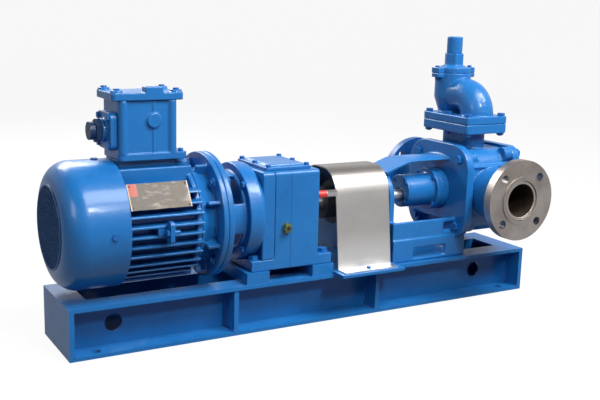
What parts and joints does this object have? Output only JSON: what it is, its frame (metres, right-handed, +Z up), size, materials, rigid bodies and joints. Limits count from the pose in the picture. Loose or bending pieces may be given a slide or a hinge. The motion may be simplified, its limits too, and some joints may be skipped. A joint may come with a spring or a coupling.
{
  "type": "shuttle block pump set",
  "caption": "Motor-driven shuttle block pump on a channel base, with inline gearbox, guarded coupling, opposed pipe flanges and a spring relief valve on top.",
  "frame": {"origin": "on the floor under the centre of the base, at the centre of the foundation bolt pattern", "axes": "+X along the shaft line from motor to pump, +Z up, -Y towards the side with the nameplate"},
  "size_m": [1.098, 0.4, 0.5895],
  "materials": {
    "blue_enamel": "glossy sprayed enamel",
    "stainless": "brushed stainless sheet",
    "machined_steel": "turned, bright",
    "shaft_steel": "ground, oiled",
    "zinc_steel": "zinc plated fasteners",
    "bronze": "bearing bronze",
    "copper": "enamelled winding wire",
    "electrical_steel": "stacked laminations",
    "brass": "plain brass",
    "rubber": "matt black",
    "polyurethane": "cast elastomer",
    "black_plastic": "moulded",
    "plate_metal": "bare etched plate"
  },
  "bodies": {
    "base": {"channel_rails": "blue_enamel", "end_channels": "blue_enamel", "rail_stiffeners": "blue_enamel", "foot_bolts": "blue_enamel", "gearbox_pads": "blue_enamel", "gearcase": "blue_enamel", "gearcase_end_cover": "blue_enamel", "gearcase_top_cover": "blue_enamel", "oil_plug": "brass", "vent_plug": "zinc_steel", "gearbox_bearings": "machined_steel", "motor_frame": "blue_enamel", "front_shield": "blue_enamel", "rear_shield": "blue_enamel", "stator_core": "electrical_steel", "stator_windings": "copper", "motor_bearings": "machined_steel", "fan_cowl": "blue_enamel", "nameplate": "plate_metal", "earth_lug": "blue_enamel", "terminal_box": "blue_enamel", "terminal_lid": "blue_enamel", "cable_entry_plate": "blue_enamel", "cable_plug": "black_plastic", "motor_adaptor": "blue_enamel", "flange_bolts": "blue_enamel", "coupling_guard": "stainless", "guard_support_plate": "blue_enamel", "pump_bracket": "blue_enamel", "front_cover": "blue_enamel", "bearing_housing": "blue_enamel", "bearing_cap": "blue_enamel", "pump_bearings": "machined_steel", "shaft_seals": "rubber", "pump_bushes": "bronze", "pump_casing": "blue_enamel", "pipe_flanges": "machined_steel", "rear_cover": "blue_enamel", "casing_bolts": "blue_enamel", "valve_body": "blue_enamel", "valve_seat": "machined_steel", "valve_spring": "shaft_steel", "adjusting_screw": "shaft_steel", "valve_bonnet": "blue_enamel", "valve_cap": "blue_enamel", "valve_bolts": "blue_enamel", "cover_screws": "blue_enamel"},
    "motor_line": {"motor_shaft": "shaft_steel", "rotor_core": "electrical_steel", "cooling_fan": "black_plastic"},
    "counter_line": {"countershaft": "shaft_steel", "counter_wheel": "shaft_steel"},
    "drive_line": {"output_wheel": "shaft_steel", "output_shaft": "shaft_steel", "coupling_hubs": "machined_steel", "coupling_spider": "polyurethane", "crank_shaft": "shaft_steel"},
    "drum": {"rotor_drum": "machined_steel"},
    "shuttle": {"shuttle_block": "bronze"},
    "relief_disc": {"valve_disc": "machined_steel"}
  },
  "joints": [
    {"name": "motor_spin", "type": "hinge", "parent": "base", "child": "motor_line", "pos_m": [-0.363, 0, 0.236], "axis": [1, 0, 0], "continuous": true},
    {"name": "counter_spin", "type": "hinge", "parent": "base", "child": "counter_line", "pos_m": [-0.085, 0, 0.17975], "axis": [1, 0, 0], "continuous": true},
    {"name": "drive_spin", "type": "hinge", "parent": "base", "child": "drive_line", "pos_m": [0.09, 0, 0.236], "axis": [1, 0, 0], "continuous": true},
    {"name": "rotor_spin", "type": "hinge", "parent": "base", "child": "drum", "pos_m": [0.42, 0, 0.246], "axis": [1, 0, 0], "continuous": true},
    {"name": "block_pivot", "type": "hinge", "parent": "drive_line", "child": "shuttle", "pos_m": [0.415, 0, 0.226], "axis": [1, 0, 0], "continuous": true},
    {"name": "relief_lift", "type": "slide", "parent": "base", "child": "relief_disc", "axis": [0, 0, 1], "range_m": [0, 0.008], "stiffness_N_per_m": 6000, "springref_m": -0.01, "deforming": ["valve_spring"]}
  ],
  "couplings": [
    {"joint": "counter_spin", "follows": "motor_spin", "ratio": -0.45161},
    {"joint": "drive_spin", "follows": "motor_spin", "ratio": 0.18347},
    {"joint": "rotor_spin", "follows": "motor_spin", "ratio": 0.091734},
    {"joint": "block_pivot", "follows": "motor_spin", "ratio": -0.091734}
  ]
}
